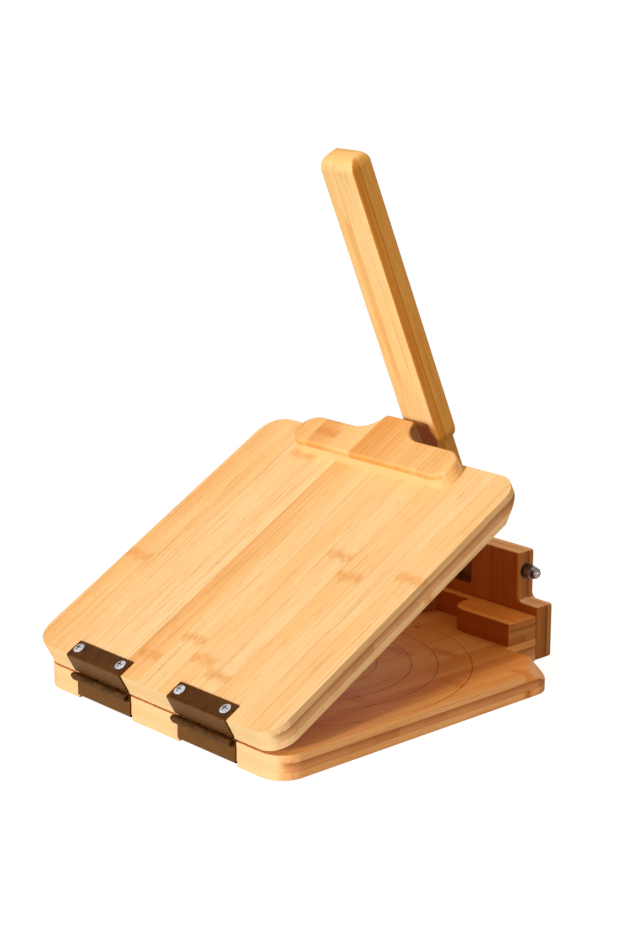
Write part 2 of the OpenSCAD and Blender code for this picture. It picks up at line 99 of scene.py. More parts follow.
class Graph:
    """The shader nodes of one material or world, joined as they are added."""

    def __init__(self, owner):
        self.owner = owner
        owner.use_nodes = True
        self.tree = owner.node_tree
        self.tree.nodes.clear()

    def add(self, kind, inputs, **settings):
        """Adds a node, with its settings and with inputs by name or place."""
        node = self.tree.nodes.new("ShaderNode" + kind)
        for name, value in settings.items():
            setattr(node, name, value)
        for key, value in inputs.items():
            if isinstance(value, bpy.types.NodeSocket):
                self.tree.links.new(value, node.inputs[key])
            else:
                node.inputs[key].default_value = value
        return node

    def math(self, operation, a, b=0.0):
        return self.add("Math", {0: a, 1: b}, operation=operation).outputs[0]

    def plus(self, a, b):
        return self.math("ADD", a, b)

    def minus(self, a, b):
        return self.math("SUBTRACT", a, b)

    def times(self, a, b):
        return self.math("MULTIPLY", a, b)

    def over(self, a, b):
        return self.math("DIVIDE", a, b)

    def largest(self, a, b):
        return self.math("MAXIMUM", a, b)

    def size(self, a):
        return self.math("ABSOLUTE", a)

    def above(self, value, limit):
        return self.math("GREATER_THAN", value, limit)

    def below(self, value, limit):
        return self.math("LESS_THAN", value, limit)

    def between(self, value, low, high):
        return self.times(self.above(value, low), self.below(value, high))

    def apart(self, a, b):
        """Distance between two numbers."""
        return self.size(self.minus(a, b))

    def pick(self, share, a, b):
        """Number a at share 0 and b at share 1."""
        return self.add("Mix", {0: share, 2: a, 3: b}, data_type="FLOAT").outputs[0]

    def tint(self, share, a, b, how="MIX"):
        """Colour a at share 0 and b at share 1, or a coloured by b."""
        inputs = {0: share, 6: a, 7: b}
        return self.add("Mix", inputs, data_type="RGBA", blend_type=how).outputs[2]

    def rise(self, value, low, high):
        """0 at low and 1 at high, with a smooth slope between."""
        inputs = {0: value, 1: low, 2: high, 3: 0.0, 4: 1.0}
        return self.add("MapRange", inputs, interpolation_type="SMOOTHSTEP").outputs[0]

    def vector(self, x, y, z):
        return self.add("CombineXYZ", {0: x, 1: y, 2: z}).outputs[0]

    def length(self, x, y, z):
        return self.add("VectorMath", {0: self.vector(x, y, z)}, operation="LENGTH").outputs[1]

    def noise(self, x, y, z, detail=3.0, rough=0.55):
        place = self.vector(x, y, z)
        inputs = {"Vector": place, "Scale": 1.0, "Detail": detail, "Roughness": rough}
        return self.add("TexNoise", inputs).outputs[0]

    def noise_at(self, point, steps, detail=3.0, rough=0.55):
        """Noise at a point, with its own step per millimetre along each axis."""
        scaled = [self.times(axis, step) for axis, step in zip(point, steps)]
        return self.noise(*scaled, detail, rough)

    def swing(self, noise, reach):
        """Noise as an offset to either side of 0."""
        return self.times(self.minus(noise, NOISE_MEAN), reach)

    def dots(self, x, y, z):
        """Distance to the nearest of many scattered points."""
        inputs = {"Vector": self.vector(x, y, z), "Scale": 1.0}
        return self.add("TexVoronoi", inputs).outputs[0]

    def chance(self, value):
        """A number from 0 to 1 that changes with every whole value."""
        return self.add("TexWhiteNoise", {"W": value}, noise_dimensions="1D").outputs[0]

    def ramp(self, value, stops, interpolation="LINEAR"):
        """Colour from stops of place and colour."""
        node = self.add("ValToRGB", {0: value})
        node.color_ramp.interpolation = interpolation
        elements = node.color_ramp.elements
        while len(elements) < len(stops):
            elements.new(1.0)
        for element, (place, colour) in zip(elements, stops):
            element.position = place
            element.color = colour
        return node.outputs[0]

    def channels(self, colour):
        return self.add("SeparateColor", {0: colour}).outputs

    def own_point(self):
        """The piece's own x, y and z in millimetres."""
        place = self.add("TexCoord", {}).outputs["Object"]
        axes = self.add("SeparateXYZ", {0: place}).outputs
        return [self.times(axis, 1 / MM) for axis in axes]

    def own_normal(self):
        """Sizes of the normal along the piece's own x, y and z."""
        normal = self.add("TexCoord", {}).outputs["Normal"]
        axes = self.add("SeparateXYZ", {0: normal}).outputs
        return [self.size(axis) for axis in axes]

    def finish(self, height, bump_mm, bump_strength, inputs):
        """Ends the graph in one shader with bumps from height."""
        bumps = {"Height": height, "Distance": bump_mm * MM, "Strength": bump_strength}
        bump = self.add("Bump", bumps).outputs[0]
        shader = self.add("BsdfPrincipled", {"Normal": bump, **inputs})
        self.add("OutputMaterial", {"Surface": shader.outputs[0]})
        return self.owner


# Bamboo: colours of the strips from pale to amber, of the fibres, of the marks where a stem had a
# joint, of the cut ends and of glue, then painted shade that the wood is multiplied by
PALE = srgb(250, 214, 156)
HONEY = srgb(244, 196, 128)
AMBER = srgb(231, 166, 92)
FIBRE = srgb(186, 120, 60)
MARK = srgb(180, 98, 34)
BAND = srgb(234, 158, 72)
CUT_PALE = srgb(255, 220, 155)
END_PALE = srgb(236, 184, 130)
END_DARK = srgb(212, 156, 106)
GLUE = srgb(150, 92, 48)
BURNT = srgb(70, 34, 14)
# Painted shade in hollows: the walls of the lid's tab, the block's notch and the upright's slot, and the lever's
# foot
HOLLOW_SHADE = (0.40, 0.28, 0.26, 1.0)
# Painted shadow of the pressure block on the lever's front
BLOCK_SHADOW = (0.50, 0.28, 0.13, 1.0)

# Strips: their width, how far the lowest ply's are moved, and the steps between the patterns of
# neighbouring strips and between the luck of the outer and the middle plies
STRIP_W = 23.6
LOWEST_SHIFT = 2.4 * STRIP_W
PATTERN_STEP = 31.7
MIDDLE_LUCK = 40.0
# Share of a strip's tone at its left edge, and what it loses on the way to its right edge
STRIP_EDGE = 1.3
STRIP_FADE = 0.6
# Seam between two strips: distances from a strip's middle where it starts and is full, and its share
SEAM = (0.485, 0.5)
SEAM_SHARE = 0.28

# Patterns of fibre: steps per millimetre across a strip, along it and into the wood, the level in the
# noise, its detail and its roughness
FIBRES = {
    "slow": (0.05, 0.009, 0.0, 0.0, 2.0, 0.55),
    "streak": (0.42, 0.009, 0.42, 0.0, 5.0, 0.62),
    "fine": (1.9, 0.022, 1.9, 0.0, 3.0, 0.6),
    "dash": (1.3, 0.09, 1.3, 0.0, 2.0, 0.5),
    "stroke": (1.5, 0.14, 0.0, 3.0, 3.0, 0.6),
}
# What the fibres colour: pattern, value where it starts and where it is full, share and colour
FIBRE_TINTS = (
    ("streak", 0.5, 0.78, 0.52, FIBRE),
    ("streak", 0.48, 0.26, 0.55, PALE),
    ("fine", 0.53, 0.72, 0.5, FIBRE),
    ("dash", 0.63, 0.78, 0.5, MARK),
)
# Tone: its slow swing, and what the left and right sides add, on a bar of two layers to each layer
TONES = ((0.0, PALE), (0.45, HONEY), (1.0, AMBER))
SLOW_SWING = 0.7
SIDE_TONE = -0.3
NEAR_LAYER_TONE = 0.35
FAR_LAYER_TONE = -0.25

# Joint marks: step, detail and reach of the band's arch, reach of its ragged edge, distances from its
# line where it ends and is full, its share, the values of the strokes in it, and the least share of the
# length that counts as a mark
ARCH_STEP = 0.1
ARCH_DETAIL = 2.0
ARCH_REACH = 9.0
RAGGED_REACH = 12.0
BAND_EDGE = (6.5, 1.0)
BAND_SHARE = 0.8
STROKES = (0.47, 0.62)
LEAST_MARK = 0.01

# Cut ends: tones of the ends that face front and back, the fibre bundles' step and values, their
# share, and how a cut's tone comes from luck on crossed plies or from the strip in a thick layer
CUT_TONES = ((0.0, CUT_PALE), (0.3, PALE), (0.55, HONEY), (1.0, AMBER))
SIDE_CUT_TONES = ((0.0, END_PALE), (1.0, END_DARK))
BUNDLE_STEP = 0.95
BUNDLES = (0.4, 0.12)
BUNDLE_SHARE = 0.22
CUT_LUCK = 0.3
CUT_TONE = 0.35

# Glue between plies: distances from a seam where it ends and is full, normals of the sides that show
# it, its shares all round, on the lower and on the upper seam, and the darkening of the middle ply
PLY_GLUE = (0.8, 0.1)
PLY_SIDES = (0.6, 0.2)
GLUE_ROUND = 0.08
GLUE_LOWER = 0.15
GLUE_UPPER = 0.4
MIDDLE_DARK = (1.2 * PLY_T, 2 * PLY_T)
MIDDLE_DARK_SHARE = 0.5
# Glue line of a bar of two layers, and the blur at the top of a block's paler foot
BAR_GLUE = (0.6, 0.1)
BAR_GLUE_SHARE = 0.7
LAYER_BLUR = 0.6

# Engraved rings: half the width of the burnt line, how deep it goes and its share
BURN_HALF = 0.5
BURN_DEPTH = 0.8
BURN_SHARE = 0.52
# Amber patch: blur at its left, right and two ends, and its share
PATCH_LEFT_BLUR = 1.0
PATCH_RIGHT_BLUR = 0.2
PATCH_END_BLUR = 12.0
PATCH_SHARE = 0.6
# Share of the even colour on the sides that face front and back, which paints those faces' look under the front
# light
EVEN_SHARE = 0.75
# Hinges: their distance from the middle, and half the width of the painted shade in the pocket behind each
HINGE_X = 57
POCKET_HALF = 29.5
# Surface: bumps from the fibres and seams, roughness, and a faint oil shine on the broad faces only
FIBRE_HEIGHT = 0.5
SEAM_HEIGHT = -0.4
GRAIN_DEPTH = 0.25
GRAIN_STRENGTH = 0.25
WOOD_ROUGH = 0.4
STREAK_ROUGH = 0.16
OIL_SHINE = 0.12


class Bamboo(Graph):
    """Strips of bamboo side by side, in three crossed plies or in one thick layer.

    axes names the piece's axes across the outer plies' strips, along them and into the wood, and
    depth_from is where the wood starts. strips holds, for each strip from strip_from on, its tone from
    pale 0 to amber 1 and the places of up to two joint marks, as shares of length from length_from on
    and 0 for none.
    """

    def __init__(self, name, axes, depth_from, strips, strip_from, length_from, length, crossed=True):
        super().__init__(bpy.data.materials.new(name))
        across, along, depth = ("xyz".index(axis) for axis in axes)
        self.point = self.own_point()
        self.normal = self.own_normal()
        self.along = self.point[along]
        self.inward = self.point[depth]
        self.deep = self.minus(self.inward, depth_from)
        self.marks_from = length_from
        self.marks_span = length
        self.crossed = crossed
        if crossed:
            self.middle = self.between(self.deep, PLY_T, 2 * PLY_T)
            shift = self.times(self.below(self.deep, PLY_T), LOWEST_SHIFT)
        else:
            self.middle = 0.0
            shift = 0.0
        side_way = self.pick(self.middle, self.point[across], self.point[along])
        self.side_way = self.plus(side_way, shift)
        self.long_way = self.pick(self.middle, self.point[along], self.point[across])

        # Which faces look where
        self.sideways = self.rise(self.normal[0], *FACING)
        self.frontways = self.rise(self.normal[1], *FACING)
        self.outward = self.normal[depth]
        self.broad = self.rise(self.outward, *FACING)
        cut_way = self.pick(self.middle, self.normal[along], self.normal[across])
        self.cut_faces = self.rise(cut_way, *FACING)

        # Which strip, where on it, and its tone
        place = self.over(self.minus(self.side_way, strip_from), STRIP_W)
        self.strip = self.math("FLOOR", place)
        self.in_strip = self.minus(place, self.strip)
        stops = []
        for number, strip in enumerate(strips):
            stops.append((number / len(strips), (*strip, 1.0)))
        looked_up = self.over(self.plus(self.strip, 0.5), len(strips))
        tone, *self.marks = self.channels(self.ramp(looked_up, stops, "CONSTANT"))[:3]
        self.luck = self.chance(self.plus(self.strip, self.times(self.middle, MIDDLE_LUCK)))
        # A strip is darkest at its left edge, where the stem's skin was
        edge = self.minus(STRIP_EDGE, self.times(self.in_strip, STRIP_FADE))
        self.tone = self.times(self.pick(self.middle, tone, self.luck), edge)

        self.pattern = self.times(self.strip, PATTERN_STEP)
        self.fibres = {kind: self.fibre(*shape) for kind, shape in FIBRES.items()}
        self.seam = self.rise(self.apart(self.in_strip, 0.5), *SEAM)

    def fibre(self, across, along, inward, level, detail, rough):
        """Noise drawn out along a strip, and another one in every strip."""
        x = self.plus(self.times(self.side_way, across), self.pattern)
        y = self.times(self.long_way, along)
        z = self.plus(self.times(self.deep, inward), level)
        return self.noise(x, y, z, detail, rough)

    def colour(self, share, colour):
        self.wood = self.tint(share, self.wood, colour)

    def stain(self, share, colour):
        self.wood = self.tint(share, self.wood, colour, "MULTIPLY")

    def pale_below(self, height):
        """Makes a thick block paler below height, towards its foot."""
        kept = self.rise(self.deep, height - LAYER_BLUR, height + LAYER_BLUR)
        self.tone = self.times(self.tone, kept)

    def grow(self, tone_shift=0.0, marked=0.5, layer_at=None):
        """Colours the wood along the grain, with joint marks as dark as marked says.

        layer_at is the depth of the glue line in a bar of two layers.
        """
        toned = self.plus(self.plus(self.tone, tone_shift), self.swing(self.fibres["slow"], SLOW_SWING))
        if layer_at is None:
            side_tone = SIDE_TONE
        else:
            far_layer = self.above(self.inward, layer_at)
            side_tone = self.pick(far_layer, NEAR_LAYER_TONE, FAR_LAYER_TONE)
        self.wood = self.ramp(self.plus(toned, self.times(self.sideways, side_tone)), TONES)
        for kind, start, full, share, colour in FIBRE_TINTS:
            self.colour(self.times(self.rise(self.fibres[kind], start, full), share), colour)
        self.colour(self.times(self.seam, SEAM_SHARE), FIBRE)
        band = self.joint_bands()
        strokes = self.times(band, self.rise(self.fibres["stroke"], *STROKES))
        self.colour(self.times(band, BAND_SHARE * marked), BAND)
        self.colour(self.times(strokes, marked), MARK)

    def joint_bands(self):
        """Soft ragged bands across the outer plies' strips, arched like the stem's joints."""
        wave = self.noise(self.times(self.side_way, ARCH_STEP), self.pattern, 0.0, ARCH_DETAIL)
        ragged = self.swing(self.fibres["stroke"], RAGGED_REACH)
        moved = self.plus(self.swing(wave, ARCH_REACH), ragged)
        place = self.plus(self.minus(self.long_way, self.marks_from), moved)
        outer = self.minus(1.0, self.middle)
        band = 0.0
        for share in self.marks:
            off = self.apart(place, self.times(share, self.marks_span))
            shown = self.times(self.above(share, LEAST_MARK), outer)
            band = self.largest(band, self.times(self.rise(off, *BAND_EDGE), shown))
        return band

    def amber_patch(self, left, right, low, high):
        """Colours a bar amber from left to right across it and from low to high along it."""
        inside = self.rise(self.side_way, left - PATCH_LEFT_BLUR, left + PATCH_LEFT_BLUR)
        for value, edge, full in (
            (self.side_way, right + PATCH_RIGHT_BLUR, right - PATCH_RIGHT_BLUR),
            (self.long_way, low - PATCH_END_BLUR, low),
            (self.long_way, high + PATCH_END_BLUR, high),
        ):
            inside = self.times(inside, self.rise(value, edge, full))
        self.colour(self.times(inside, PATCH_SHARE), AMBER)

    def cut_ends(self):
        """Gives the cut ends dots of fibre, and darker ones on the left and right sides."""
        step_x = self.times(self.side_way, BUNDLE_STEP)
        bundle = self.dots(step_x, self.times(self.deep, BUNDLE_STEP), self.pattern)
        tone = self.times(self.luck, CUT_LUCK) if self.crossed else self.plus(self.tone, CUT_TONE)
        front_cut = self.ramp(tone, CUT_TONES)
        side_cut = self.ramp(self.luck, SIDE_CUT_TONES)
        cut = self.tint(self.sideways, front_cut, side_cut)
        cut = self.tint(self.times(self.rise(bundle, *BUNDLES), BUNDLE_SHARE), cut, END_DARK)
        self.colour(self.cut_faces, cut)

    def glue_line(self, layer_at):
        """Draws the glue line on the sides of a bar of two layers."""
        line = self.rise(self.apart(self.inward, layer_at), *BAR_GLUE)
        self.colour(self.times(self.times(line, self.sideways), BAR_GLUE_SHARE), FIBRE)

    def ply_lines(self):
        """Draws the glue between the plies on the sides, and darkens the middle ply upwards."""
        half = PLY_T / 2
        from_seam = self.minus(half, self.math("PINGPONG", self.plus(self.deep, half), half))
        inside = self.between(self.deep, half, 5 * half)
        glue = self.times(self.rise(from_seam, *PLY_GLUE), inside)
        glue = self.times(glue, self.rise(self.outward, *PLY_SIDES))
        upper = self.above(self.deep, 3 * half)
        on_sides = self.times(self.sideways, self.pick(upper, GLUE_LOWER, GLUE_UPPER))
        self.colour(self.times(glue, self.plus(GLUE_ROUND, on_sides)), GLUE)
        dark = self.times(self.times(self.rise(self.deep, *MIDDLE_DARK), self.middle), self.sideways)
        self.colour(self.times(dark, MIDDLE_DARK_SHARE), GLUE)

    def burn_rings(self):
        """Draws the engraved rings as burnt brown lines on the top face."""
        x, y, z = self.point
        from_middle = self.length(x, y, 0.0)
        burn = 0.0
        for diameter in RING_DIAMETERS:
            off = self.apart(from_middle, diameter / 2)
            burn = self.largest(burn, self.rise(off, BURN_HALF, BURN_HALF / 3))
        burn = self.times(burn, self.above(z, BOARD_T - BURN_DEPTH))
        self.colour(self.times(burn, BURN_SHARE), BURNT)

    def even_front(self, colour):
        """Evens out the plies on the sides that face front and back: painted light and shade, the look those faces
        have under the front light.
        """
        self.colour(self.times(self.frontways, EVEN_SHARE), colour)

    def shade_pockets(self):
        """Paints shade on the hinge edge behind the two hinges, where the leaves' pockets lie in shadow."""
        from_hinge = self.apart(self.from_middle(), HINGE_X)
        behind = self.times(self.below(from_hinge, POCKET_HALF), self.below(self.point[1], 0.0))
        self.colour(self.times(behind, self.frontways), BURNT)

    def from_middle(self):
        """Distance from the press's middle to the left or right."""
        return self.size(self.point[0])

    def upways(self):
        """1 on faces that look up or down."""
        return self.rise(self.normal[2], *FACING)

    def shade_walls(self, walls, reach):
        """Paints shade on the walls that stand nearer to the middle than reach, as shade falls in a hollow."""
        self.stain(self.times(walls, self.below(self.from_middle(), reach)), HOLLOW_SHADE)

    def done(self):
        """The finished material."""
        streak = self.fibres["streak"]
        grain = self.times(self.fibres["fine"], FIBRE_HEIGHT)
        grain = self.plus(grain, self.times(self.seam, SEAM_HEIGHT))
        height = self.plus(self.times(streak, FIBRE_HEIGHT), grain)
        return self.finish(height, GRAIN_DEPTH, GRAIN_STRENGTH, {
            "Base Color": self.wood,
            "Roughness": self.plus(WOOD_ROUGH, self.times(streak, STREAK_ROUGH)),
            "Specular IOR Level": self.times(self.broad, OIL_SHINE),
        })


# Strips of each wood, from left to right: tone and joint marks
BASE_STRIPS = (
    (0.5, 0.3, 0.0), (0.2, 0.7, 0.0), (0.8, 0.2, 0.0), (0.35, 0.55, 0.0), (0.25, 0.85, 0.0),
    (0.7, 0.4, 0.0), (0.45, 0.765, 0.0), (0.15, 0.85, 0.25), (0.6, 0.43, 0.0), (0.8, 0.70, 0.0),
    (0.3, 0.89, 0.0),
)
LID_STRIPS = (
    (0.50, 0.38, 0.0), (0.32, 0.0, 0.0), (0.15, 0.885, 0.0), (0.12, 0.0, 0.0), (0.60, 0.10, 0.0),
    (0.22, 0.19, 0.0), (0.30, 0.14, 0.0), (0.20, 0.59, 0.11), (0.35, 0.533, 0.0), (0.18, 0.0, 0.0),
    (0.28, 0.585, 0.0),
)
BLOCK_STRIPS = (
    (0.55, 0.0, 0.0), (0.70, 0.948, 0.0), (0.28, 0.0, 0.0), (0.95, 0.0, 0.0), (0.65, 0.0, 0.0),
    (0.50, 0.0, 0.0), (0.45, 0.0, 0.0),
)
RAIL_STRIPS = (
    (0.6, 0.0, 0.0), (0.75, 0.0, 0.0), (0.5, 0.0, 0.0), (0.7, 0.0, 0.0), (0.6, 0.0, 0.0),
)
LEVER_STRIPS = ((0.45, 0.0, 0.0), (0.28, 0.0, 0.0), (0.35, 0.0, 0.0))
# Where the first strip of each wood starts
BASE_STRIPS_FROM = -120.1
LID_STRIPS_FROM = -128
BLOCK_STRIPS_FROM = -84.8
GUIDE_STRIPS_FROM = 120
UPRIGHT_STRIPS_FROM = -100
LEVER_STRIPS_FROM = -26.6

# Tint of each wood, and further tints of its left and right sides, its broad faces and its ends.
# The further tints are painted light and shade: sides and the base's broad faces darker and more amber
# as in shade, the guide block's and the upright's sides and tops painted lighter where light falls.
# The guide block's and the upright's own tints are partly the wood's deeper tone and partly painted
# shade under the lid.
BASE_TINT = (0.94, 0.91, 0.94, 1.0)
BASE_SIDE_SHADE = (1.0, 0.78, 0.62, 1.0)
BASE_FACE_SHADE = (0.96, 0.70, 0.40, 1.0)
# Even pale colour of the base's front and back: painted light of faces turned to the front light
BASE_FRONT_LIGHT = srgb(250, 204, 148)
LID_TINT = (0.95, 0.95, 1.03, 1.0)
BOARD_SIDE_SHADE = (1.0, 0.95, 0.88, 1.0)
BLOCK_TINT = (0.93, 0.90, 0.88, 1.0)
GUIDE_TINT_AND_SHADE = (0.60, 0.34, 0.18, 1.0)
GUIDE_SIDE_LIGHT = (1.15, 1.4, 1.7, 1.0)
GUIDE_TOP_LIGHT = (1.75, 2.15, 2.4, 1.0)
UPRIGHT_TINT_AND_SHADE = (0.60, 0.31, 0.14, 1.0)
UPRIGHT_SIDE_LIGHT = (1.0, 1.3, 1.9, 1.0)
UPRIGHT_TOP_LIGHT = (1.7, 3.0, 8.0, 1.0)
LEVER_TINT = (0.93, 0.98, 1.0, 1.0)
LEVER_SIDE_SHADE = (0.76, 0.50, 0.22, 1.0)
# The base, the guide block and the upright are a little more amber than the rest
RIPE = 0.1
# Half widths within which side walls get painted shade: the lid's tab, the block's notch, the upright's slot
TAB_HALF = 20.0
NOTCH_HALF = 25.0
SLOT_HALF = 12.6
# Height below which the pressure block is paler
BLOCK_PALE_FOOT = 8.0
# Lever: depth of its glue line, its amber patch, where its front carries the pressure block's painted
# shadow (from, full from, full to and to) and where its foot gets painted shade in the slot (full to and to)
LEVER_LAYER = 0.75
LEVER_PATCH = (-9.0, -3.0, 170.0, 295.0)
LEVER_SHADOW_SPAN = (40.0, 60.0, 122.0, 134.0)
LEVER_FOOT_SHADE = (22.0, 34.0)


def base_wood(name):
    wood = Bamboo(name, "xyz", 0, BASE_STRIPS, BASE_STRIPS_FROM, HINGE_EDGE_Y, BOARD_D)
    wood.grow(tone_shift=RIPE, marked=0.75)
    wood.cut_ends()
    wood.ply_lines()
    wood.burn_rings()
    # Painted light: front and back evened to one pale colour
    wood.even_front(BASE_FRONT_LIGHT)
    # Painted shade in the pockets behind the hinges
    wood.shade_pockets()
    wood.stain(1.0, BASE_TINT)
    # Painted shade: the sides and broad faces darker and more amber
    wood.stain(wood.sideways, BASE_SIDE_SHADE)
    wood.stain(wood.broad, BASE_FACE_SHADE)
    return wood.done()


def lid_wood(name):
    wood = Bamboo(name, "xyz", BOARD_T, LID_STRIPS, LID_STRIPS_FROM, HINGE_EDGE_Y, BOARD_D)
    wood.grow(marked=0.48)
    wood.cut_ends()
    wood.ply_lines()
    # Painted light: front and back evened to one pale colour
    wood.even_front(CUT_PALE)
    # Painted shade in the pockets behind the hinges
    wood.shade_pockets()
    wood.stain(1.0, LID_TINT)
    # Painted shade on the sides
    wood.stain(wood.sideways, BOARD_SIDE_SHADE)
    # Painted shade on the walls of the tab
    wood.shade_walls(wood.sideways, TAB_HALF)
    return wood.done()


def block_wood(name):
    wood = Bamboo(
        name, "xyz", LID_TOP, BLOCK_STRIPS, BLOCK_STRIPS_FROM, HINGE_EDGE_Y, BOARD_D, crossed=False
    )
    wood.pale_below(BLOCK_PALE_FOOT)
    wood.grow(marked=0.65)
    wood.cut_ends()
    wood.stain(1.0, BLOCK_TINT)
    # Painted shade on the sides
    wood.stain(wood.sideways, BOARD_SIDE_SHADE)
    # Painted shade on the walls of the notch
    wood.shade_walls(wood.sideways, NOTCH_HALF)
    return wood.done()


def guide_wood(name):
    wood = Bamboo(name, "yxz", BOARD_T, RAIL_STRIPS, GUIDE_STRIPS_FROM, -RAIL_W / 2, RAIL_W)
    wood.grow(tone_shift=RIPE)
    wood.cut_ends()
    wood.ply_lines()
    # Painted shade: an even dark front
    wood.even_front(AMBER)
    # Dark amber tint, partly the wood's own deeper tone and partly painted shade; the sides and the top and bottom
    # are painted lighter as light falls on them
    wood.stain(1.0, GUIDE_TINT_AND_SHADE)
    wood.stain(wood.sideways, GUIDE_SIDE_LIGHT)
    wood.stain(wood.broad, GUIDE_TOP_LIGHT)
    return wood.done()


def upright_wood(name):
    wood = Bamboo(
        name, "xzy", UPRIGHT_NEAR_Y, RAIL_STRIPS * 2, UPRIGHT_STRIPS_FROM, 0, UPRIGHT_H
    )
    wood.grow(tone_shift=RIPE)
    wood.cut_ends()
    wood.ply_lines()
    # Dark amber tint, partly the wood's own deeper tone and partly painted shade; the sides are painted lighter as
    # light falls on them
    wood.stain(1.0, UPRIGHT_TINT_AND_SHADE)
    wood.stain(wood.sideways, UPRIGHT_SIDE_LIGHT)
    # Painted light on the top and bottom faces outside the slot
    upways = wood.upways()
    wood.stain(wood.times(upways, wood.above(wood.from_middle(), SLOT_HALF)), UPRIGHT_TOP_LIGHT)
    # Painted shade on the slot's walls and floor
    wood.shade_walls(wood.largest(wood.sideways, upways), SLOT_HALF)
    return wood.done()


def lever_wood(name):
    wood = Bamboo(
        name, "xzy", LEVER_NEAR_Y, LEVER_STRIPS, LEVER_STRIPS_FROM, 0, LEVER_LEN, crossed=False
    )
    wood.grow(layer_at=LEVER_LAYER)
    wood.amber_patch(*LEVER_PATCH)
    wood.cut_ends()
    wood.glue_line(LEVER_LAYER)
    wood.stain(1.0, LEVER_TINT)
    # Painted shade on the sides
    wood.stain(wood.sideways, LEVER_SIDE_SHADE)
    # Painted shadow of the pressure block across the front and the shoulder
    shadow_from, full_from, full_to, shadow_to = LEVER_SHADOW_SPAN
    starts = wood.rise(wood.along, shadow_from, full_from)
    ends = wood.rise(wood.along, shadow_to, full_to)
    fronts = wood.largest(wood.frontways, wood.upways())
    wood.stain(wood.times(wood.times(starts, ends), fronts), BLOCK_SHADOW)
    # Painted shade on the foot where it stands in the slot
    foot_full_to, foot_to = LEVER_FOOT_SHADE
    wood.stain(wood.rise(wood.along, foot_to, foot_full_to), HOLLOW_SHADE)
    return wood.done()


# Bronze: dark and pale patina, the brushed grain, painted light on the upright plates, painted shade on the
# barrels and the bright rub
PATINA = ((0.3, srgb(72, 38, 6)), (0.7, srgb(96, 57, 14)))
BRONZE_GRAIN = srgb(114, 76, 34)
PLATE_LIGHT = srgb(132, 92, 46)
BARREL_SHADE = srgb(50, 26, 8)
BRONZE_RUB = srgb(196, 160, 104)
# Noise of its clouds, grain and specks: steps per millimetre along x, y and z, detail and roughness
PATINA_NOISE = ((0.12, 0.12, 0.12), 4.0, 0.6)
BRUSH_NOISE = ((0.25, 2.2, 2.2), 3.0, 0.6)
SPECK_NOISE = ((1.3, 1.3, 1.3), 3.0, 0.65)
# Distances from the hinge axis where a barrel ends and is full, normals of the upright plates, and the
# values from which the grain and the specks show
BARREL = (3.6, 2.8)
PLATES = (0.5, 0.9)
BRUSHED = (0.55, 0.8)
SPECKS = (0.56, 0.68)
BRUSHED_SHARE = 0.3
PLATE_LIGHT_SHARE = 0.45
BARREL_SHADE_SHARE = 0.6
RUB_ALL_OVER = 0.05
RUB_ON_BARREL = 0.25
BRONZE_ROUGH = 0.55
RUB_SMOOTH = 0.15
BRONZE_METAL = 0.7
BRONZE_SHINE = 0.05
# Bumps: heights of the specks and of the grain, depth and strength
SPECK_HEIGHT = 0.6
BRUSH_HEIGHT = 0.4
BRONZE_DEPTH = 0.12
BRONZE_STRENGTH = 0.35


def bronze(name):
    """Dark antique bronze, rubbed bright in specks, most of all on the barrels, with painted light on the upright
    plates and painted shade on the barrels.
    """
    g = Graph(bpy.data.materials.new(name))
    point = g.own_point()
    cloud = g.noise_at(point, *PATINA_NOISE)
    grain = g.noise_at(point, *BRUSH_NOISE)
    speck = g.noise_at(point, *SPECK_NOISE)
    from_axis = g.length(0.0, g.minus(point[1], HINGE.y / MM), g.minus(point[2], HINGE.z / MM))
    barrel = g.rise(from_axis, *BARREL)
    plate = g.rise(g.own_normal()[1], *PLATES)
    colour = g.ramp(cloud, PATINA)
    colour = g.tint(g.times(g.rise(grain, *BRUSHED), BRUSHED_SHARE), colour, BRONZE_GRAIN)
    # Painted light on the plates that face front and back
    colour = g.tint(g.times(plate, PLATE_LIGHT_SHARE), colour, PLATE_LIGHT)
    # Painted shade on the barrels under the plates
    colour = g.tint(g.times(barrel, BARREL_SHADE_SHARE), colour, BARREL_SHADE)
    rub_share = g.plus(RUB_ALL_OVER, g.times(barrel, RUB_ON_BARREL))
    rub = g.times(g.rise(speck, *SPECKS), rub_share)
    height = g.plus(g.times(speck, SPECK_HEIGHT), g.times(grain, BRUSH_HEIGHT))
    return g.finish(height, BRONZE_DEPTH, BRONZE_STRENGTH, {
        "Base Color": g.tint(rub, colour, BRONZE_RUB),
        "Roughness": g.minus(BRONZE_ROUGH, g.times(rub, RUB_SMOOTH)),
        "Metallic": BRONZE_METAL,
        "Specular IOR Level": BRONZE_SHINE,
    })


# Bright metal: clouds, painted shade in hollows, and how much of the sky a hollow with little and with full
# painted shade sees
CLOUD_STEP = 0.3
CLOUD_STOPS = (0.3, 0.7)
METAL_HOLLOW_SHADE = srgb(44, 38, 36)
HOLLOW_SKY = (0.8, 0.35)
METAL_HOLLOW_SHADE_SHARE = 0.85
# Turning lines: detail of their noise, depth and strength of the bumps
TURNED_DETAIL = 2.0
TURNED_DEPTH = 0.05
TURNED_STRENGTH = 0.15


